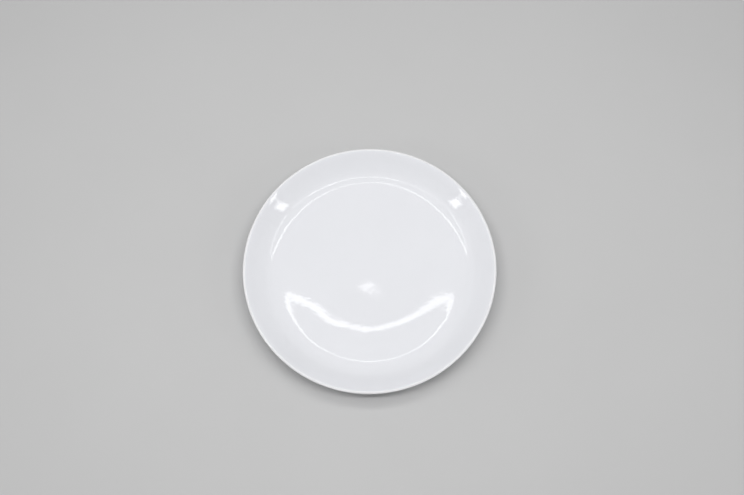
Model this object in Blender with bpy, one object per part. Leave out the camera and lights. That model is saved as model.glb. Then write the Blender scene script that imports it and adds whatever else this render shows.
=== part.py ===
"""Coupe bread plate in white porcelain: the fired body and the two glaze coats that it carries.

Every piece is turned about +Z from a half section in the XZ plane. Lengths are in metres, and the foot
stands on z = 0. A surface that lies a given depth under the finished glaze has the same arc centres as the
finished surface, with each radius longer or shorter by that depth.
"""

import math

import bpy

# Finished outline of the plate
PLATE_DIAMETER = 0.165
PLATE_HEIGHT = 0.019
LIP_THICKNESS = 0.0024

# Face: the flat well, the cove around it and the wall up to the lip
WELL_DIAMETER = 0.136  # where the planes of the well and of the wall would meet
COVE_RADIUS = 0.023

# Back: thickness at the base and at the bottom of the wall, and the turn between them
BASE_THICKNESS = 0.0046
WALL_THICKNESS = 0.0040
BACK_RADIUS = 0.026

# Foot ring: a tapered ring under the base, with a bare flat face to stand on
FOOT_DIAMETER = 0.098  # through the middle of the standing face
FOOT_HEIGHT = 0.0034
FOOT_FACE_WIDTH = 0.0022
FOOT_EDGE_RADIUS = 0.0006
FOOT_ROOT_RADIUS = 0.0015
FOOT_DRAFT = math.radians(12.0)

# Glaze coats
GLAZE_THICKNESS = 0.00035
BOND_GAP = 0.0001  # between a coat and the body under it
BARE_HEIGHT = 0.0008  # from the standing face up to the edge of the glaze

# Facets
SEGMENTS = 64
COVE_STEPS = 6
LIP_STEPS = 8
BACK_STEPS = 4
ROOT_STEPS = 3
EDGE_STEPS = 2

# Material colours, linear
GLAZE_COLOUR = (0.807, 0.815, 0.847, 1.0)
BODY_COLOUR = (0.791, 0.761, 0.701, 1.0)

# The planes of the face and the back, worked out from the sizes above
BODY_DEPTH = GLAZE_THICKNESS + BOND_GAP
LIP_RADIUS = LIP_THICKNESS / 2
LIP_CENTRE = (PLATE_DIAMETER / 2 - LIP_RADIUS, PLATE_HEIGHT - LIP_RADIUS)
WELL_HEIGHT = FOOT_HEIGHT + BASE_THICKNESS
HEEL = (WELL_DIAMETER / 2, WELL_HEIGHT)
SLANT = math.dist(HEEL, LIP_CENTRE)
LEAN = math.atan2(LIP_CENTRE[1] - HEEL[1], LIP_CENTRE[0] - HEEL[0])

# The face of the wall leaves the heel and touches the round of the lip from above
FACE_ANGLE = LEAN + math.asin(LIP_RADIUS / SLANT)
FACE_LENGTH = math.sqrt(SLANT**2 - LIP_RADIUS**2)
FACE_TURN = math.tan(FACE_ANGLE / 2)
COVE = min(COVE_RADIUS, FACE_LENGTH / FACE_TURN)
COVE_CENTRE = (HEEL[0] - COVE * FACE_TURN, WELL_HEIGHT + COVE)

# The back of the wall passes the heel at the wall's thickness and touches the lip from below
BACK_ANGLE = LEAN + math.asin((WALL_THICKNESS - LIP_RADIUS) / SLANT)
BACK_NORMAL = (math.sin(BACK_ANGLE), -math.cos(BACK_ANGLE))
BACK_OFFSET = HEEL[0] * BACK_NORMAL[0] + HEEL[1] * BACK_NORMAL[1] + WALL_THICKNESS
BACK_HEEL = (BACK_OFFSET - FOOT_HEIGHT * BACK_NORMAL[1]) / BACK_NORMAL[0]

# The sides of the foot, as distances from the middle of the ring
FOOT_RADIUS = FOOT_DIAMETER / 2
FOOT_SIDE = FOOT_FACE_WIDTH / 2 * math.cos(FOOT_DRAFT) - FOOT_EDGE_RADIUS * math.sin(FOOT_DRAFT) + FOOT_EDGE_RADIUS
ROOT = min(FOOT_ROOT_RADIUS, FOOT_HEIGHT - 2 * BARE_HEIGHT)
ROOT_HEIGHT = FOOT_HEIGHT - ROOT
ROOT_REACH = (FOOT_SIDE + BODY_DEPTH + ROOT + ROOT_HEIGHT * math.sin(FOOT_DRAFT)) / math.cos(FOOT_DRAFT)

# The turn under the wall ends before the root of the foot
BACK_ROOM = min(BACK_HEEL - FOOT_RADIUS - ROOT_REACH, FACE_LENGTH)
BACK_TURN = math.tan(BACK_ANGLE / 2)
BACK = min(BACK_RADIUS, BACK_ROOM / BACK_TURN)
BACK_CENTRE = (BACK_HEEL - BACK * BACK_TURN, FOOT_HEIGHT + BACK)

QUARTER = math.pi / 2


def arc(centre, radius, start, end, steps):
    """Points along a circle, from one angle to another, both ends included."""
    angles = [start + (end - start) * step / steps for step in range(steps + 1)]
    return [(centre[0] + radius * math.cos(angle), centre[1] + radius * math.sin(angle)) for angle in angles]


def foot_reach(height, depth):
    """How far a side of the foot stands from the middle of its ring, at a height and a depth of glaze."""
    return (FOOT_SIDE + BODY_DEPTH - depth + height * math.sin(FOOT_DRAFT)) / math.cos(FOOT_DRAFT)


def face_line(depth):
    """The half section from the axis over the face, the lip and the back, to the root of the foot."""
    return [
        (0.0, WELL_HEIGHT - depth),
        *arc(COVE_CENTRE, COVE + depth, -QUARTER, FACE_ANGLE - QUARTER, COVE_STEPS),
        *arc(LIP_CENTRE, LIP_RADIUS - depth, FACE_ANGLE + QUARTER, BACK_ANGLE - QUARTER, LIP_STEPS),
        *arc(BACK_CENTRE, BACK - depth, BACK_ANGLE - QUARTER, -QUARTER, BACK_STEPS),
        *arc(
            (FOOT_RADIUS + ROOT_REACH, ROOT_HEIGHT),
            ROOT + depth,
            QUARTER,
            2 * QUARTER - FOOT_DRAFT,
            ROOT_STEPS,
        ),
    ]


def base_line(depth):
    """The half section from the inner root of the foot across the hollow to the axis."""
    root = arc((FOOT_RADIUS - ROOT_REACH, ROOT_HEIGHT), ROOT + depth, FOOT_DRAFT, QUARTER, ROOT_STEPS)
    return [*root, (0.0, FOOT_HEIGHT + depth)]


def foot_line():
    """The half section around the bare foot: outer edge, standing face and inner edge."""
    half = FOOT_FACE_WIDTH / 2
    outer = (FOOT_RADIUS + half, FOOT_EDGE_RADIUS)
    inner = (FOOT_RADIUS - half, FOOT_EDGE_RADIUS)
    return [
        *arc(outer, FOOT_EDGE_RADIUS, -FOOT_DRAFT, -QUARTER, EDGE_STEPS),
        *arc(inner, FOOT_EDGE_RADIUS, -QUARTER, FOOT_DRAFT - 2 * QUARTER, EDGE_STEPS),
    ]


def outer_coat_line(depth):
    """A surface of the outer coat, down to the edge of the glaze on the outside of the foot."""
    return [*face_line(depth), (FOOT_RADIUS + foot_reach(BARE_HEIGHT, depth), BARE_HEIGHT)]


def inner_coat_line(depth):
    """A surface of the inner coat, from the edge of the glaze on the inside of the foot."""
    return [(FOOT_RADIUS - foot_reach(BARE_HEIGHT, depth), BARE_HEIGHT), *base_line(depth)]


def material(name, colour, roughness):
    made = bpy.data.materials.new(name)
    made.use_nodes = True
    shader = made.node_tree.nodes["Principled BSDF"]
    shader.inputs["Base Color"].default_value = colour
    shader.inputs["Roughness"].default_value = roughness
    return made


def turned(name, section, surface):
    """A solid of revolution whose half section starts and ends on the axis."""
    mesh = bpy.data.meshes.new(name)
    points = [(radius, 0.0, height) for radius, height in section]
    mesh.from_pydata(points, [(i, i + 1) for i in range(len(points) - 1)], [])
    mesh.materials.append(surface)
    piece = bpy.data.objects.new(name, mesh)
    bpy.context.scene.collection.objects.link(piece)
    screw = piece.modifiers.new("Turn", "SCREW")
    screw.steps = SEGMENTS
    screw.render_steps = SEGMENTS
    screw.use_merge_vertices = True
    screw.merge_threshold = 0.00001
    screw.use_smooth_shade = True
    return piece


def main():
    for leftover in list(bpy.data.objects):
        bpy.data.objects.remove(leftover)

    glaze = material("white_glaze", GLAZE_COLOUR, 0.12)
    bisque = material("bare_porcelain", BODY_COLOUR, 0.65)

    turned("porcelain_body", [*face_line(BODY_DEPTH), *foot_line(), *base_line(BODY_DEPTH)], bisque)
    turned("face_glaze", [*outer_coat_line(0.0), *reversed(outer_coat_line(GLAZE_THICKNESS))], glaze)
    turned("base_glaze", [*reversed(inner_coat_line(GLAZE_THICKNESS)), *inner_coat_line(0.0)], glaze)


main()
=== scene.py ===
"""Looks of a coupe bread plate in white glazed porcelain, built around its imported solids.

Every piece is a half section carried round the plate's axis. A half section is an array of (radius, height)
points that runs from the axis over the top, round the outside and back under to the axis, so that its faces
point outwards. Lengths are in metres, and the foot stands on z = 0.
"""

import math
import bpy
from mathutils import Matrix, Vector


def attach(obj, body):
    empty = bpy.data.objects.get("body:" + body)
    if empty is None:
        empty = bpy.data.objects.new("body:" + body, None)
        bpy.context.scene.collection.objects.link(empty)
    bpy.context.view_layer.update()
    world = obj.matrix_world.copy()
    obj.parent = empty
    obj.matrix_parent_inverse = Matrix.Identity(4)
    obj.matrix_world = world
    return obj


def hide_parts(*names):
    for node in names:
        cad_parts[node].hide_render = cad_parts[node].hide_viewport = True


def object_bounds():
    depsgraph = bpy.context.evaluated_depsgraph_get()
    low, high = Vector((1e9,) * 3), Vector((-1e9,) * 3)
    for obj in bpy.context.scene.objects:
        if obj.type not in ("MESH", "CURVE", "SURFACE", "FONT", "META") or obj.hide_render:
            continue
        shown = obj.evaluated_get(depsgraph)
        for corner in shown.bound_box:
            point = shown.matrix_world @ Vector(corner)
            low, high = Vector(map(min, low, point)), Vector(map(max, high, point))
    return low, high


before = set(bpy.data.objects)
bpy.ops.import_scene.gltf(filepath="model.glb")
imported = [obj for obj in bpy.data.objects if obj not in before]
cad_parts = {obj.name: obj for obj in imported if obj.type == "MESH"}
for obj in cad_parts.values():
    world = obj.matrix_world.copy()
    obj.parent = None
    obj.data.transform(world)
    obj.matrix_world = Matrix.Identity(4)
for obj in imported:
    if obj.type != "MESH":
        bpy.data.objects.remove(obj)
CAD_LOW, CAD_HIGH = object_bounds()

from types import SimpleNamespace

import bpy
import numpy as np
from bpy.props import FloatProperty, FloatVectorProperty, IntProperty, PointerProperty
from mathutils import Vector

bl_info = {
    "name": "Glazed bread plate",
    "version": (1, 0, 0),
    "blender": (4, 5, 0),
    "location": "3D View > Sidebar > Plate",
    "description": "Builds the porcelain body, its two coats of glaze and a plain studio around them",
    "category": "Object",
}

QUARTER = math.pi / 2

# Slope of the finished face in degrees, at radii in millimetres on a plate of the nominal radius. The middle
# rises by a hair, the well sinks inside the foot ring, the cove tightens up to the wall, and the wall eases
# off into the lip.
NOMINAL_RADIUS = 82.5
FACE_SLOPES = np.array(
    [
        (0.0, 0.0), (7.0, -0.30), (11.0, -0.10), (15.0, 0.30), (20.0, 0.95), (26.0, 1.85), (32.0, 2.35),
        (38.0, 1.95), (44.0, 1.25), (49.0, 0.80), (53.0, 0.60), (55.5, 0.75), (58.0, 1.70), (60.0, 3.35),
        (62.0, 6.20), (64.0, 9.10), (66.0, 15.5), (68.0, 21.0), (70.5, 32.0), (73.5, 37.0),
        (77.0, 41.5), (78.7, 41.5), (79.5, 39.0), (80.1, 36.0), (80.6, 33.0),
    ]
)
SLOPE_STEPS = 6000  # over which the slope of the face is summed

# Points along the half section: on the face, the lip and the back for each step of detail
FACE_POINTS = 20
LIP_POINTS = 3
BACK_POINTS = 2
LEDGE_POINTS = 3  # between the turn of the back and the root of the foot
ROOT_POINTS = 10  # round the inner root of the foot
FOOT_EDGE_POINTS = 6
COAT_EDGE_POINTS = 11

# Steps of detail on the body, on the finished glaze and on the underside of a coat
BODY_DETAIL = 4
FINISH_DETAIL = 8
UNDERSIDE_DETAIL = 3

# Points across the hollow under the base, where it is hidden and where it is finished
HIDDEN_HOLLOW_POINTS = 40
FINISHED_HOLLOW_POINTS = 180

# Slow waves of the glaze: how many add up, their shortest and longest lengths, and where they die out, as
# shares of the radius of the plate and of the foot
WAVE_COUNT = 60
FACE_WAVES = (0.010, 0.050)
BASE_WAVES = (0.006, 0.020)
FACE_WAVES_FADE = (0.93, 0.965)
BASE_WAVES_FADE = (0.86, 0.90)
EDGE_SWINGS = np.arange(2, 26, 2)  # how often each part of the wander swings in a turn round the foot

# Seeds of the random draws
FACE_WAVES_SEED = 868
FACE_EDGE_SEED = 23
BASE_WAVES_SEED = 31
BASE_EDGE_SEED = 37

# Trimming rings under the base: their spacing, how far and how fast their phase sways, and where they start
TRIM_SPACING = 0.0024
TRIM_SWAY = 1.5
TRIM_SWAY_RATE = 400.0
TRIM_START = (0.002, 0.006)

# Glaze that pools at the root of the foot: its middle as a share of the root's radius, its reach to each
# side, and how far it climbs above the foot
POOL_MIDDLE = 0.7
POOL_REACH = 0.0012
POOL_CLIMB = 0.0002

# Glaze run thin over the lip, painted lighter there as a painted highlight along the rim: where it starts
# and is full, in from the rim and up from the middle of the lip
THIN_AND_HIGHLIGHT_FROM_RIM = (0.0018, 0.0011)
THIN_AND_HIGHLIGHT_OVER_LIP = (-0.0002, 0.0006)

# Heights between which the scuffs of the standing face die out
SCUFF_HEIGHTS = (0.00004, 0.00035)

# Shares of a colour that its darker clouds, grains and pools keep
GLAZE_CLOUD = 0.985
GLAZE_POOL = (0.90, 0.925, 0.945)
CLAY_GRAIN = 0.86
FLOOR_CLOUD = 0.98
SCUFF_GREY = (0.46, 0.45, 0.43)

# Heights of the lamps overhead: those that glossy surfaces show, the middle of the front bar close under
# them, and those that glossy surfaces don't show
FRAME_HEIGHT = 0.70
MIDDLE_HEIGHT = 0.698
FILL_HEIGHT = 0.75

# What the lamps at the sides point at
PLATE_MIDDLE = (0.0, 0.0, 0.015)
LEFT_WALL = (-0.058, 0.044, 0.012)
RIGHT_WALL = (0.058, 0.044, 0.012)

FLOOR_HALF = 5.0
SENSOR_WIDTH = 36.0


class PlateShape(bpy.types.PropertyGroup):
    """Sizes of the finished plate."""

    diameter: FloatProperty(
        name="Diameter",
        description="Across the outside of the lip",
        default=round(CAD_HIGH.x - CAD_LOW.x, 4),
        unit="LENGTH",
    )
    height: FloatProperty(
        name="Height",
        description="From the standing face of the foot to the top of the lip",
        default=round(CAD_HIGH.z - CAD_LOW.z, 4),
        unit="LENGTH",
    )
    lip_thickness: FloatProperty(
        name="Lip thickness",
        description="Across the round of the lip",
        default=0.0024,
        unit="LENGTH",
    )
    well_diameter: FloatProperty(
        name="Well diameter",
        description="Where the planes of the well and of the wall would meet",
        default=0.136,
        unit="LENGTH",
    )
    base_thickness: FloatProperty(
        name="Base thickness",
        description="From the well to the hollow under it",
        default=0.0046,
        unit="LENGTH",
    )
    wall_thickness: FloatProperty(
        name="Wall thickness",
        description="At the bottom of the wall",
        default=0.0040,
        unit="LENGTH",
    )
    back_radius: FloatProperty(
        name="Back radius",
        description="Of the turn from the base into the back of the wall",
        default=0.026,
        unit="LENGTH",
    )
    base_sag: FloatProperty(
        name="Base sag",
        description="How far the base sinks inside the foot ring in the kiln",
        default=0.0008,
        unit="LENGTH",
    )
    foot_diameter: FloatProperty(
        name="Foot diameter",
        description="Through the middle of the standing face",
        default=0.098,
        unit="LENGTH",
    )
    foot_height: FloatProperty(
        name="Foot height",
        description="From the standing face to the base",
        default=0.0034,
        unit="LENGTH",
    )
    foot_face_width: FloatProperty(
        name="Foot face width",
        description="Of the flat face that the plate stands on",
        default=0.0022,
        unit="LENGTH",
    )
    foot_edge_radius: FloatProperty(
        name="Foot edge radius",
        description="Of the rounded edges of the standing face",
        default=0.0006,
        unit="LENGTH",
    )
    foot_root_radius: FloatProperty(
        name="Foot root radius",
        description="Of the hollow corner between the foot and the base",
        default=0.0015,
        unit="LENGTH",
    )
    foot_draft: FloatProperty(
        name="Foot draft",
        description="Taper of each side of the foot",
        default=math.radians(12.0),
        subtype="ANGLE",
    )
    out_of_round: FloatProperty(
        name="Out of round",
        description="How far firing drew the plate out along one diagonal, as a share of its radius",
        default=0.002,
    )
    segments: IntProperty(
        name="Segments",
        description="Facets round the axis",
        default=256,
        min=64,
    )


class GlazeCoat(bpy.types.PropertyGroup):
    """Thickness, edge and evenness of the coats of glaze."""

    thickness: FloatProperty(
        name="Thickness",
        description="Of a coat",
        default=0.00035,
        unit="LENGTH",
    )
    bond_gap: FloatProperty(
        name="Bond gap",
        description="Between a coat and the body under it",
        default=0.0001,
        unit="LENGTH",
    )
    bare_height: FloatProperty(
        name="Bare height",
        description="From the standing face up to the edge of the glaze",
        default=0.0008,
        unit="LENGTH",
    )
    edge_roll: FloatProperty(
        name="Edge roll",
        description="Height over which a coat rounds off at its edge",
        default=0.0006,
        unit="LENGTH",
    )
    edge_swell: FloatProperty(
        name="Edge swell",
        description="How much thicker a coat is just above its edge",
        default=0.00006,
        unit="LENGTH",
    )
    edge_wander: FloatProperty(
        name="Edge wander",
        description="How far the wiped edge strays up and down",
        default=0.00010,
        unit="LENGTH",
    )
    wave_tilt: FloatProperty(
        name="Wave tilt",
        description="Root mean square tilt of the glaze's slow waves",
        default=math.radians(0.10),
        subtype="ANGLE",
    )
    trim_rings: FloatProperty(
        name="Trim rings",
        description="Depth of the trimming rings left under the base",
        default=0.000012,
        unit="LENGTH",
    )
    colour: FloatVectorProperty(
        name="Glaze colour",
        description="Cool white of the glaze over the body",
        default=(0.807, 0.815, 0.847),
        subtype="COLOR",
        size=3,
    )
    # The lip colour is lighter than the glaze and the body: partly glaze run thin, partly a painted
    # highlight along the rim.
    lip_colour_and_highlight: FloatVectorProperty(
        name="Lip colour",
        description="Plain white of the lip, where the glaze ran thin",
        default=(0.865, 0.865, 0.880),
        subtype="COLOR",
        size=3,
    )
    bare_colour: FloatVectorProperty(
        name="Bare colour",
        description="Warm white of the body where no glaze covers it",
        default=(0.791, 0.761, 0.701),
        subtype="COLOR",
        size=3,
    )


class PlateStudio(bpy.types.PropertyGroup):
    """Floor, lamps and camera."""

    floor_colour: FloatVectorProperty(
        name="Floor colour",
        description="Pale grey of the floor",
        default=(0.568, 0.568, 0.568),
        subtype="COLOR",
        size=3,
    )
    even_light: FloatVectorProperty(
        name="Even light",
        description="Radiance of the light from all round: from the sides, front and back, and above",
        default=(0.57, 0.28, 0.12),
        subtype="XYZ",
        size=3,
    )
    front_lamp: FloatProperty(
        name="Front lamp",
        description="Radiance of the lamp above the front of the plate, which glossy surfaces don't show",
        default=24.6,
    )
    back_lamp: FloatProperty(
        name="Back lamp",
        description="Radiance of the lamp above the back of the plate, which glossy surfaces don't show",
        default=5.5,
    )
    middle_lamp: FloatProperty(
        name="Middle lamp",
        description="Radiance of the broad lamp above the middle, which glossy surfaces don't show",
        default=1.3,
    )
    strip: FloatProperty(
        name="Strip",
        description="Radiance of the narrow strip overhead",
        default=4.8,
    )
    front_bar: FloatProperty(
        name="Front bar",
        description="Radiance of the bar overhead, in front of the strip",
        default=2.0,
    )
    front_bar_middle: FloatProperty(
        name="Front bar middle",
        description="Radiance that the middle of the front bar adds",
        default=4.0,
    )
    end_bars: FloatProperty(
        name="End bars",
        description="Radiance of the bars overhead that close the strip and the front bar into a frame",
        default=4.0,
    )
    side_panels: FloatProperty(
        name="Side panels",
        description="Radiance of the panel on each side",
        default=2.8,
    )
    side_panel_middles: FloatProperty(
        name="Side panel middles",
        description="Radiance that the middle of each side panel adds",
        default=3.85,
    )
    left_fill: FloatProperty(
        name="Left fill",
        description="Radiance of the soft light low down on the left, which glossy surfaces don't show",
        default=0.5,
    )
    lens: FloatProperty(
        name="Lens",
        description="Focal length of the camera, in millimetres",
        default=50.0,
    )
    camera_place: FloatVectorProperty(
        name="Camera",
        description="Where the camera is",
        default=(0.0, -0.17672, 0.66640),
        subtype="TRANSLATION",
        unit="LENGTH",
        size=3,
    )
    camera_aim: FloatVectorProperty(
        name="Aim",
        description="The point that the camera looks at",
        default=(0.00164, 0.01359, 0.0174),
        subtype="TRANSLATION",
        unit="LENGTH",
        size=3,
    )


def arc(centre, radius, start, end, count):
    """Points on a circle: the centre plus the radius times (cosine, sine) of evenly spaced angles."""
    angle = np.linspace(start, end, count)
    return np.column_stack((centre[0] + radius * np.cos(angle), centre[1] + radius * np.sin(angle)))


def line(start, end, count):
    """Points spread evenly from one to another, without either end."""
    share = np.linspace(0.0, 1.0, count + 2)[1:-1, None]
    return np.asarray(start) * (1 - share) + np.asarray(end) * share


def smooth_step(value, low, high):
    """0 below low, 1 above high, and the cubic 3t² - 2t³ between them."""
    t = np.clip((value - low) / (high - low), 0.0, 1.0)
    return t * t * (3.0 - 2.0 * t)


def monotone_cubic(at, knots, values):
    """A cubic through the knots that never overshoots.

    The tangent at a knot is the weighted harmonic mean of the chords beside it, or 0 where they turn back.
    """
    width = np.diff(knots)
    chord = np.diff(values) / width
    near = 2 * width[1:] + width[:-1]
    far = width[1:] + 2 * width[:-1]
    level = chord[:-1] * chord[1:] <= 0
    safe = np.where(level[:, None], 1.0, np.column_stack((chord[:-1], chord[1:])))
    inner = np.where(level, 0.0, (near + far) / (near / safe[:, 0] + far / safe[:, 1]))
    tangent = np.concatenate((chord[:1], inner, chord[-1:]))
    i = np.clip(np.searchsorted(knots, at) - 1, 0, len(width) - 1)
    t = np.clip((at - knots[i]) / width[i], 0.0, 1.0)
    return (
        values[i] * (1 + 2 * t) * (1 - t) ** 2
        + values[i + 1] * t * t * (3 - 2 * t)
        + width[i] * (tangent[i] * t * (1 - t) ** 2 - tangent[i + 1] * t * t * (1 - t))
    )


def outline(shape, coat):
    """The arcs and angles of the half section, worked out from the plate's sizes."""
    o = SimpleNamespace()
    o.radius = shape.diameter / 2
    o.body_depth = coat.thickness + coat.bond_gap
    o.lip = shape.lip_thickness / 2
    o.lip_centre = (o.radius - o.lip, shape.height - o.lip)
    o.face_angle = math.radians(FACE_SLOPES[-1, 1])

    heel = (shape.well_diameter / 2, shape.foot_height + shape.base_thickness)
    slant = math.dist(heel, o.lip_centre)
    lean = math.atan2(o.lip_centre[1] - heel[1], o.lip_centre[0] - heel[0])
    o.back_angle = lean + math.asin((shape.wall_thickness - o.lip) / slant)
    across, down = math.sin(o.back_angle), math.cos(o.back_angle)
    offset = heel[0] * across - heel[1] * down + shape.wall_thickness
    back_heel = (offset + shape.foot_height * down) / across
    o.back = shape.back_radius
    o.back_centre = (back_heel - o.back * math.tan(o.back_angle / 2), shape.foot_height + o.back)

    o.draft = shape.foot_draft
    o.foot = shape.foot_diameter / 2
    o.foot_half = shape.foot_face_width / 2
    o.edge = shape.foot_edge_radius
    o.foot_side = o.foot_half * math.cos(o.draft) - o.edge * math.sin(o.draft) + o.edge
    o.root = shape.foot_root_radius
    o.root_height = shape.foot_height - o.root
    o.root_reach = foot_reach(o, o.root_height, -o.root)
    return o


def foot_reach(o, height, depth):
    """How far a side of the foot stands from the middle of its ring.

    It is a line that leans by the draft, moved in by the depth under the finished glaze.
    """
    return (o.foot_side + o.body_depth - depth + height * math.sin(o.draft)) / math.cos(o.draft)


def face_curve(o, depth, count):
    """The face from the axis to the lip, at a depth under the finished glaze.

    The height is the running sum of the tangent of the slope, counted back from the point where the face
    touches the round of the lip. A layer lies along the normal under the finished face, at its depth.
    """
    end = o.lip_centre[0] - o.lip * math.sin(o.face_angle)
    top = o.lip_centre[1] + o.lip * math.cos(o.face_angle)
    fine = np.linspace(0.0, end, SLOPE_STEPS + 1)
    knots = FACE_SLOPES[:, 0] * (o.radius / NOMINAL_RADIUS)
    slope = monotone_cubic(fine, knots, np.radians(FACE_SLOPES[:, 1]))
    rise = np.tan(slope)
    climbed = np.concatenate(([0.0], np.cumsum((rise[1:] + rise[:-1]) / 2 * np.diff(fine))))
    radius = np.linspace(0.0, end, count)
    height = np.interp(radius, fine, climbed) + top - climbed[-1]
    tilt = np.interp(radius, fine, slope)
    return np.column_stack((radius + depth * np.sin(tilt), height - depth * np.cos(tilt)))


def upper_curve(o, depth, detail):
    """The half section from the axis over the face, the lip and the back, to the root of the foot.

    After the face come arcs round the lip, the turn of the back and the root, joined by straight lines.
    """
    face = face_curve(o, depth, FACE_POINTS * detail)
    lip_angles = (o.face_angle + QUARTER, o.back_angle - QUARTER)
    lip = arc(o.lip_centre, o.lip - depth, *lip_angles, LIP_POINTS * detail)
    back = arc(o.back_centre, o.back - depth, o.back_angle - QUARTER, -QUARTER, BACK_POINTS * detail)
    root_centre = (o.foot + o.root_reach, o.root_height)
    root = arc(root_centre, o.root + depth, QUARTER, 2 * QUARTER - o.draft, detail)
    wall = line(lip[-1], back[0], detail)
    ledge = line(back[-1], root[0], LEDGE_POINTS)
    return np.concatenate((face, lip[1:], wall, back, ledge, root))


def hollow_curve(o, shape, depth, count):
    """The half section from the inner root of the foot across the hollow to the axis.

    The base sinks from the root to the axis by the sag times the square of (1 - (r / reach)²).
    """
    root_centre = (o.foot - o.root_reach, o.root_height)
    root = arc(root_centre, o.root + depth, o.draft, QUARTER, ROOT_POINTS)
    radius = np.linspace(root[-1, 0], 0.0, count)[1:]
    sag = shape.base_sag * (1 - (radius / root[-1, 0]) ** 2) ** 2
    base = np.column_stack((radius, shape.foot_height + depth - sag))
    return np.concatenate((root, base))


def foot_curve(o):
    """The half section round the bare foot: an arc at each edge of its flat standing face."""
    outer_centre, inner_centre = (o.foot + o.foot_half, o.edge), (o.foot - o.foot_half, o.edge)
    outer = arc(outer_centre, o.edge, -o.draft, -QUARTER, FOOT_EDGE_POINTS)
    inner = arc(inner_centre, o.edge, -QUARTER, o.draft - 2 * QUARTER, FOOT_EDGE_POINTS)
    return np.concatenate((outer, inner))


def coat_edge(o, coat, side):
    """The edge of a coat on one side of the foot, from above down to where the glaze was wiped off.

    Over the roll, the depth goes from the finished surface to the underside of the coat along a quarter of
    an ellipse, less a swell that is the square of a sine.
    """
    share = np.linspace(0.0, 1.0, COAT_EDGE_POINTS)
    swell = coat.edge_swell * np.sin(math.pi * share) ** 2
    depth = coat.thickness * (1 - np.sqrt(1 - share**2)) - swell
    height = coat.bare_height + coat.edge_roll * (1 - share)
    return np.column_stack((o.foot + side * foot_reach(o, height, depth), height))


def slow_waves(grid, tilt, lengths, seed):
    """Uneven height of a glaze over the points of a grid.

    It is a sum of plane waves of mixed length and heading, each with an equal share of the mean square tilt.
    """
    draw = np.random.default_rng(seed)
    shortest, longest = lengths
    length = np.exp(draw.uniform(math.log(shortest), math.log(longest), WAVE_COUNT))
    heading = draw.uniform(0.0, 2 * math.pi, WAVE_COUNT)
    phase = draw.uniform(0.0, 2 * math.pi, WAVE_COUNT)
    turn = 2 * math.pi / length
    size = tilt * math.sqrt(2.0 / WAVE_COUNT) / turn
    x, y = grid[..., 0, None], grid[..., 1, None]
    along = x * (turn * np.cos(heading)) + y * (turn * np.sin(heading))
    return (np.cos(along + phase) * size).sum(-1)


def edge_wander(angle, size, seed):
    """A line that strays up and down round the foot: cosines, each over the root of its swings, added up."""
    draw = np.random.default_rng(seed)
    phase = draw.uniform(0.0, 2 * math.pi, len(EDGE_SWINGS))
    return size * (np.cos(angle[:, None] * EDGE_SWINGS + phase) / np.sqrt(EDGE_SWINGS)).sum(1)


def rings(section, shape):
    """The grid of a turned surface: each point of the section, less its two ends on the axis, at each angle.

    Firing drew the plate out along a diagonal: x gains a small share of y, and y the same share of x.
    """
    angle = np.arange(shape.segments) * (2 * math.pi / shape.segments)
    cosine, sine = np.cos(angle), np.sin(angle)
    radius, height = section[1:-1, :1], section[1:-1, 1:]
    grid = np.empty((len(section) - 2, shape.segments, 3))
    grid[..., 0] = radius * (cosine + shape.out_of_round * sine)
    grid[..., 1] = radius * (sine + shape.out_of_round * cosine)
    grid[..., 2] = height
    return grid, angle


def turned(name, section, grid, surface):
    """A closed mesh of revolution: a point on the axis at each end, a fan round it, and quads between."""
    count, segments = grid.shape[:2]
    first_end, last_end = [[0.0, 0.0, section[0, 1]]], [[0.0, 0.0, section[-1, 1]]]
    points = np.concatenate((first_end, grid.reshape(-1, 3), last_end))
    here = np.arange(segments)
    beside = (here + 1) % segments
    start = 1 + segments * np.arange(count - 1)[:, None]
    after = start + segments
    quads = np.stack((start + here, after + here, after + beside, start + beside), -1)
    last = 1 + segments * (count - 1)
    first_fan = np.column_stack((np.zeros_like(here), 1 + here, 1 + beside))
    last_fan = np.column_stack((last + here, np.full_like(here, len(points) - 1), last + beside))
    faces = first_fan.tolist() + quads.reshape(-1, 4).tolist() + last_fan.tolist()

    mesh = bpy.data.meshes.new(name)
    mesh.from_pydata(points.tolist(), [], faces)
    mesh.shade_smooth()
    mesh.materials.append(surface)
    if mesh.validate():
        raise RuntimeError(f"{name} has a face that is not valid")
    piece = bpy.data.objects.new(name, mesh)
    bpy.context.scene.collection.objects.link(piece)
    return piece


def ring_marks(section, start, values):
    """A number for each ring of a section: 0, apart from a run of values from one of its points on."""
    marks = np.zeros(len(section))
    marks[start : start + len(values)] = values
    return marks[1:-1]


def ring_value(piece, name, values, segments):
    """Stores the number of each ring at its vertices, and 0 at the two ends on the axis."""
    spread = np.concatenate(([0.0], np.repeat(values, segments), [0.0]))
    stored = piece.data.attributes.new(name, "FLOAT", "POINT")
    stored.data.foreach_set("value", spread.astype(np.float32))


def opaque(colour, share=1.0):
    """A colour whose channels are each times a share, with no transparency."""
    return (*(share * channel for channel in colour), 1.0)


def shader_tree(name):
    """A new material with its Principled shader, and helpers that add a node, mix two colours and link."""
    made = bpy.data.materials.new(name)
    made.use_nodes = True
    tree = made.node_tree
    shader = tree.nodes["Principled BSDF"]

    def add(kind, values=(), **settings):
        node = tree.nodes.new(kind)
        for key, value in settings.items():
            setattr(node, key, value)
        for socket, value in dict(values).items():
            if isinstance(value, bpy.types.NodeSocket):
                tree.links.new(value, node.inputs[socket])
            else:
                node.inputs[socket].default_value = value
        return node

    def mix(factor, first, second):
        values = {"Factor": factor, "A": first, "B": second}
        return add("ShaderNodeMix", values, data_type="RGBA").outputs["Result"]

    def link(source, socket):
        tree.links.new(source, shader.inputs[socket])

    return made, shader, add, mix, link


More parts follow.
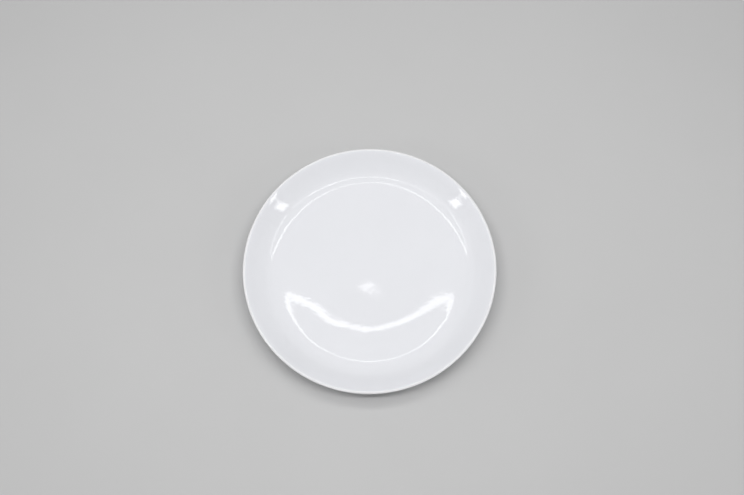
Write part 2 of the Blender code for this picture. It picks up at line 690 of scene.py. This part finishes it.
def glaze_material(coat):
    """Clear glossy glaze over white porcelain, with a skin like fine peel.

    It has faint clouds of tone, is deeper where it pools, and is plainer and lighter over the lip, where the
    glaze ran thin and a painted highlight stands in for the shine of the rim.
    """
    made, shader, add, mix, link = shader_tree("glossy_glaze")
    place = add("ShaderNodeTexCoord").outputs["Object"]
    clouds = add("ShaderNodeTexNoise", {"Vector": place, "Scale": 22.0, "Detail": 3.0, "Roughness": 0.55})
    tone = add("ShaderNodeMapRange", {"Value": clouds.outputs["Fac"], "From Min": 0.3, "From Max": 0.7})
    body = mix(tone.outputs["Result"], opaque(coat.colour), opaque(coat.colour, GLAZE_CLOUD))
    pool = add("ShaderNodeAttribute", attribute_name="glaze_pool").outputs["Fac"]
    deep = (*(channel * share for channel, share in zip(coat.colour, GLAZE_POOL)), 1.0)
    colour = mix(pool, body, deep)
    # Over the lip the colour turns lighter: thin glaze, and a painted highlight along the rim.
    thin_and_highlight = add("ShaderNodeAttribute", attribute_name="thin_glaze_and_highlight").outputs["Fac"]
    link(mix(thin_and_highlight, colour, opaque(coat.lip_colour_and_highlight)), "Base Color")
    breath = add("ShaderNodeTexNoise", {"Vector": place, "Scale": 60.0, "Detail": 2.0})
    gloss = add(
        "ShaderNodeMapRange",
        {"Value": breath.outputs["Fac"], "From Min": 0.3, "From Max": 0.7, "To Min": 0.03, "To Max": 0.042},
    )
    link(gloss.outputs["Result"], "Roughness")
    peel = add("ShaderNodeTexNoise", {"Vector": place, "Scale": 420.0, "Detail": 0.0})
    skin = add("ShaderNodeBump", {"Height": peel.outputs["Fac"], "Strength": 1.0, "Distance": 0.0000085})
    link(skin.outputs["Normal"], "Normal")
    shader.inputs["IOR"].default_value = 1.5
    return made


def bare_material(coat):
    """Fired body without glaze: a fine grain with pale and dark specks, and grey scuffs where it stands."""
    made, _, add, mix, link = shader_tree("unglazed_clay")
    place = add("ShaderNodeTexCoord").outputs["Object"]
    grain = add("ShaderNodeTexNoise", {"Vector": place, "Scale": 900.0, "Detail": 4.0, "Roughness": 0.7})
    tone = add("ShaderNodeMapRange", {"Value": grain.outputs["Fac"], "From Min": 0.25, "From Max": 0.75})
    clay = mix(tone.outputs["Result"], opaque(coat.bare_colour), opaque(coat.bare_colour, CLAY_GRAIN))
    rub = add("ShaderNodeTexNoise", {"Vector": place, "Scale": 140.0, "Detail": 5.0, "Roughness": 0.65})
    worn = add("ShaderNodeMapRange", {"Value": rub.outputs["Fac"], "From Min": 0.52, "From Max": 0.68})
    stand = add("ShaderNodeAttribute", attribute_name="standing_face").outputs["Fac"]
    scuff = add("ShaderNodeMath", {0: worn.outputs["Result"], 1: stand}, operation="MULTIPLY")
    link(mix(scuff.outputs["Value"], clay, opaque(SCUFF_GREY)), "Base Color")
    matt = add("ShaderNodeMapRange", {"Value": scuff.outputs["Value"], "To Min": 0.72, "To Max": 0.48})
    link(matt.outputs["Result"], "Roughness")
    rough = add("ShaderNodeBump", {"Height": grain.outputs["Fac"], "Strength": 0.6, "Distance": 0.00004})
    link(rough.outputs["Normal"], "Normal")
    return made


def floor_material(studio):
    """Matt pale paper with a faint cloudiness and a fine tooth."""
    made, shader, add, mix, link = shader_tree("pale_floor")
    place = add("ShaderNodeTexCoord").outputs["Object"]
    clouds = add("ShaderNodeTexNoise", {"Vector": place, "Scale": 9.0, "Detail": 4.0, "Roughness": 0.6})
    tone = add("ShaderNodeMapRange", {"Value": clouds.outputs["Fac"], "From Min": 0.3, "From Max": 0.7})
    light, dark = opaque(studio.floor_colour), opaque(studio.floor_colour, FLOOR_CLOUD)
    link(mix(tone.outputs["Result"], light, dark), "Base Color")
    tooth = add("ShaderNodeTexNoise", {"Vector": place, "Scale": 1500.0, "Detail": 2.0})
    bump = add("ShaderNodeBump", {"Height": tooth.outputs["Fac"], "Strength": 0.15, "Distance": 0.00005})
    link(bump.outputs["Normal"], "Normal")
    shader.inputs["Roughness"].default_value = 0.9
    shader.inputs["Specular IOR Level"].default_value = 0.2
    return made


def sizes(scene):
    """The plate's sizes and its coats, with the outline worked out from them."""
    shape, coat = scene.plate_shape, scene.plate_coat
    return shape, coat, outline(shape, coat)


def find_or_make(name, make):
    """The material of that name, made on first use."""
    return bpy.data.materials.get(name) or make()


class PLATE_OT_porcelain_body(bpy.types.Operator):
    """Turn the fired body, with its bare foot"""

    bl_idname = "plate.porcelain_body"
    bl_label = "Porcelain body"

    def execute(self, context):
        shape, coat, o = sizes(context.scene)
        upper = upper_curve(o, o.body_depth, BODY_DETAIL)
        hollow = hollow_curve(o, shape, o.body_depth, HIDDEN_HOLLOW_POINTS)
        section = np.concatenate((upper, foot_curve(o), hollow))
        grid, _ = rings(section, shape)
        surface = find_or_make("unglazed_clay", lambda: bare_material(coat))
        piece = turned("fired_body", section, grid, surface)
        low = 1 - smooth_step(section[1:-1, 1], *SCUFF_HEIGHTS)
        ring_value(piece, "standing_face", low, shape.segments)
        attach(piece, "root")
        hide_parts("porcelain_body")
        return {"FINISHED"}


class PLATE_OT_face_glaze(bpy.types.Operator):
    """Lay the coat of glaze over the face, the lip, the back and the outside of the foot"""

    bl_idname = "plate.face_glaze"
    bl_label = "Face glaze"

    def execute(self, context):
        shape, coat, o = sizes(context.scene)
        top = upper_curve(o, 0.0, FINISH_DETAIL)
        edge = coat_edge(o, coat, 1)
        under = upper_curve(o, coat.thickness, UNDERSIDE_DETAIL)[::-1]
        section = np.concatenate((top, edge, under))
        radius, height = section[1:-1].T
        finished = ring_marks(section, 0, np.ones(len(top)))
        on_face = ring_marks(section, 0, np.ones(FACE_POINTS * FINISH_DETAIL))
        roll = ring_marks(section, len(top), np.linspace(0.0, 1.0, len(edge)))

        grid, angle = rings(section, shape)
        fade_start, fade_end = (share * o.radius for share in FACE_WAVES_FADE)
        wavy = on_face * (1 - smooth_step(radius, fade_start, fade_end))
        waves = slow_waves(grid, coat.wave_tilt, FACE_WAVES, FACE_WAVES_SEED)
        grid[..., 2] += wavy[:, None] * waves
        grid[..., 2] += roll[:, None] * edge_wander(angle, coat.edge_wander, FACE_EDGE_SEED)
        surface = find_or_make("glossy_glaze", lambda: glaze_material(coat))
        piece = turned("face_coat", section, grid, surface)

        gap = np.abs(radius - (o.foot + o.root_reach - o.root * POOL_MIDDLE))
        near_foot = height < shape.foot_height + POOL_CLIMB
        pool = finished * near_foot * (1 - smooth_step(gap, 0.0, POOL_REACH))
        ring_value(piece, "glaze_pool", pool, shape.segments)
        # Mask of where the lip is painted lighter: thin glaze and a painted highlight along the rim.
        thin_highlight_start, thin_highlight_full = (o.radius - inset for inset in THIN_AND_HIGHLIGHT_FROM_RIM)
        thin_highlight_low, thin_highlight_high = (o.lip_centre[1] + rise for rise in THIN_AND_HIGHLIGHT_OVER_LIP)
        over_lip = smooth_step(radius, thin_highlight_start, thin_highlight_full) * smooth_step(height, thin_highlight_low, thin_highlight_high)
        ring_value(piece, "thin_glaze_and_highlight", finished * over_lip, shape.segments)
        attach(piece, "root")
        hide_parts("face_glaze")
        return {"FINISHED"}


class PLATE_OT_base_glaze(bpy.types.Operator):
    """Lay the coat of glaze in the hollow inside the foot ring"""

    bl_idname = "plate.base_glaze"
    bl_label = "Base glaze"

    def execute(self, context):
        shape, coat, o = sizes(context.scene)
        upper = hollow_curve(o, shape, coat.thickness, HIDDEN_HOLLOW_POINTS)[::-1]
        edge = coat_edge(o, coat, -1)[::-1]
        lower = hollow_curve(o, shape, 0.0, FINISHED_HOLLOW_POINTS)
        section = np.concatenate((upper, edge, lower))
        radius = section[1:-1, 0]
        finished = ring_marks(section, len(upper) + len(edge), np.ones(len(lower)))
        roll = ring_marks(section, len(upper), np.linspace(1.0, 0.0, len(edge)))

        grid, angle = rings(section, shape)
        fade_start, fade_end = (share * o.foot for share in BASE_WAVES_FADE)
        wavy = finished * (1 - smooth_step(radius, fade_start, fade_end))
        waves = slow_waves(grid, coat.wave_tilt, BASE_WAVES, BASE_WAVES_SEED)
        phase = radius * (2 * math.pi / TRIM_SPACING) + TRIM_SWAY * np.sin(radius * TRIM_SWAY_RATE)
        trimmed = coat.trim_rings * np.cos(phase) * smooth_step(radius, *TRIM_START)
        grid[..., 2] += wavy[:, None] * (waves + trimmed[:, None])
        grid[..., 2] += roll[:, None] * edge_wander(angle, coat.edge_wander, BASE_EDGE_SEED)
        surface = find_or_make("glossy_glaze", lambda: glaze_material(coat))
        piece = turned("base_coat", section, grid, surface)

        gap = np.abs(radius - (o.foot - o.root_reach + o.root * POOL_MIDDLE))
        pool = finished * (1 - smooth_step(gap, 0.0, POOL_REACH))
        ring_value(piece, "glaze_pool", pool, shape.segments)
        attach(piece, "root")
        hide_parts("base_glaze")
        return {"FINISHED"}


def lamp_panel(name, place, aim, size, radiance):
    """An even rectangular panel: its power is its radiance times pi times its area."""
    lamp = bpy.data.lights.new(name, "AREA")
    lamp.shape = "RECTANGLE"
    lamp.size, lamp.size_y = size
    lamp.energy = radiance * math.pi * size[0] * size[1]
    holder = bpy.data.objects.new(name, lamp)
    holder.location = place
    holder.rotation_mode = "QUATERNION"
    holder.rotation_quaternion = (Vector(aim) - Vector(place)).to_track_quat("-Z", "Y")
    bpy.context.scene.collection.objects.link(holder)
    return holder


def overhead(name, middle, size, radiance):
    """A panel that faces straight down."""
    x, y, _ = middle
    return lamp_panel(name, middle, (x, y, 0.0), size, radiance)


def lay_floor(scene, studio):
    """A wide flat floor under the plate."""
    half = FLOOR_HALF
    corners = [(-half, -half, 0.0), (half, -half, 0.0), (half, half, 0.0), (-half, half, 0.0)]
    mesh = bpy.data.meshes.new("pale_floor")
    mesh.from_pydata(corners, [], [(0, 1, 2, 3)])
    mesh.materials.append(floor_material(studio))
    floor = bpy.data.objects.new("pale_floor", mesh)
    scene.collection.objects.link(floor)


def light_room(scene, studio):
    """Light from all round: the squares of the heading's x, y and z, each times its level, added up."""
    scene.world = bpy.data.worlds.new("even_light")
    scene.world.use_nodes = True
    room = scene.world.node_tree
    heading = room.nodes.new("ShaderNodeTexCoord").outputs["Generated"]
    squares = room.nodes.new("ShaderNodeVectorMath")
    squares.operation = "MULTIPLY"
    room.links.new(heading, squares.inputs[0])
    room.links.new(heading, squares.inputs[1])
    level = room.nodes.new("ShaderNodeVectorMath")
    level.operation = "DOT_PRODUCT"
    level.inputs[1].default_value = studio.even_light
    room.links.new(squares.outputs["Vector"], level.inputs[0])
    sky = room.nodes["Background"].inputs
    sky["Color"].default_value = (1.0, 1.0, 1.0, 1.0)
    room.links.new(level.outputs["Value"], sky["Strength"])


def hang_lamps(studio):
    """Lamps overhead and at the sides, each with its place, its size and its radiance."""
    for name, middle, size, radiance in (
        ("front_lamp", (0.0, -0.095, FILL_HEIGHT), (0.75, 0.04), studio.front_lamp),
        ("back_lamp", (0.0, 0.21, FILL_HEIGHT), (0.75, 0.09), studio.back_lamp),
        ("middle_lamp", (0.0, 0.06, FILL_HEIGHT), (0.75, 0.20), studio.middle_lamp),
    ):
        overhead(name, middle, size, radiance).visible_glossy = False
    fill = lamp_panel("left_fill", (-1.0, 0.0, 0.42), PLATE_MIDDLE, (0.60, 0.50), studio.left_fill)
    fill.visible_glossy = False

    for name, middle, size, radiance in (
        ("strip", (0.0, 0.153, FRAME_HEIGHT), (0.44, 0.016), studio.strip),
        ("front_bar", (0.0, -0.045, FRAME_HEIGHT), (0.55, 0.03), studio.front_bar),
        ("front_bar_middle", (0.045, -0.045, MIDDLE_HEIGHT), (0.26, 0.03), studio.front_bar_middle),
        ("left_end_bar", (-0.28, 0.06, FRAME_HEIGHT), (0.04, 0.16), studio.end_bars),
        ("right_end_bar", (0.32, 0.06, FRAME_HEIGHT), (0.04, 0.16), studio.end_bars),
    ):
        overhead(name, middle, size, radiance)

    outer, inner = studio.side_panels, studio.side_panel_middles
    lamp_panel("left_panel", (-0.877, -0.383, 0.642), RIGHT_WALL, (0.112, 0.37), outer)
    lamp_panel("left_panel_middle", (-0.873, -0.381, 0.639), RIGHT_WALL, (0.078, 0.255), inner)
    lamp_panel("right_panel", (0.886, -0.362, 0.642), LEFT_WALL, (0.108, 0.385), outer)
    lamp_panel("right_panel_middle", (0.882, -0.360, 0.639), LEFT_WALL, (0.074, 0.27), inner)


def set_camera(scene, studio):
    """The camera at its place, turned towards its aim."""
    lens = bpy.data.cameras.new("camera")
    lens.lens = studio.lens
    lens.sensor_width = SENSOR_WIDTH
    camera = bpy.data.objects.new("camera", lens)
    camera.location = studio.camera_place
    camera.rotation_mode = "QUATERNION"
    toward = Vector(studio.camera_aim) - Vector(studio.camera_place)
    camera.rotation_quaternion = toward.to_track_quat("-Z", "Y")
    scene.collection.objects.link(camera)
    scene.camera = camera


class PLATE_OT_studio(bpy.types.Operator):
    """Set up the floor, the light from all round, the lamps and the camera"""

    bl_idname = "plate.studio"
    bl_label = "Studio"

    def execute(self, context):
        scene = context.scene
        studio = scene.plate_studio
        lay_floor(scene, studio)
        light_room(scene, studio)
        hang_lamps(studio)
        set_camera(scene, studio)
        scene.view_settings.view_transform = "Standard"
        return {"FINISHED"}


class PLATE_PT_panel(bpy.types.Panel):
    """Lists what builds the plate, and its sizes and colours"""

    bl_idname = "PLATE_PT_panel"
    bl_label = "Bread plate"
    bl_space_type = "VIEW_3D"
    bl_region_type = "UI"
    bl_category = "Plate"

    def draw(self, context):
        layout = self.layout
        for operator in OPERATORS:
            layout.operator(operator.bl_idname)
        for group in (context.scene.plate_shape, context.scene.plate_coat, context.scene.plate_studio):
            box = layout.box()
            for name in group.__annotations__:
                box.prop(group, name)


GROUPS = (PlateShape, GlazeCoat, PlateStudio)
OPERATORS = (PLATE_OT_porcelain_body, PLATE_OT_face_glaze, PLATE_OT_base_glaze, PLATE_OT_studio)
CLASSES = (*GROUPS, *OPERATORS, PLATE_PT_panel)


def register():
    for item in CLASSES:
        bpy.utils.register_class(item)
    bpy.types.Scene.plate_shape = PointerProperty(type=PlateShape)
    bpy.types.Scene.plate_coat = PointerProperty(type=GlazeCoat)
    bpy.types.Scene.plate_studio = PointerProperty(type=PlateStudio)


def unregister():
    del bpy.types.Scene.plate_studio
    del bpy.types.Scene.plate_coat
    del bpy.types.Scene.plate_shape
    for item in reversed(CLASSES):
        bpy.utils.unregister_class(item)


def main():
    register()
    bpy.ops.plate.porcelain_body()
    bpy.ops.plate.face_glaze()
    bpy.ops.plate.base_glaze()
    bpy.ops.plate.studio()


if __name__ == "__main__":
    main()
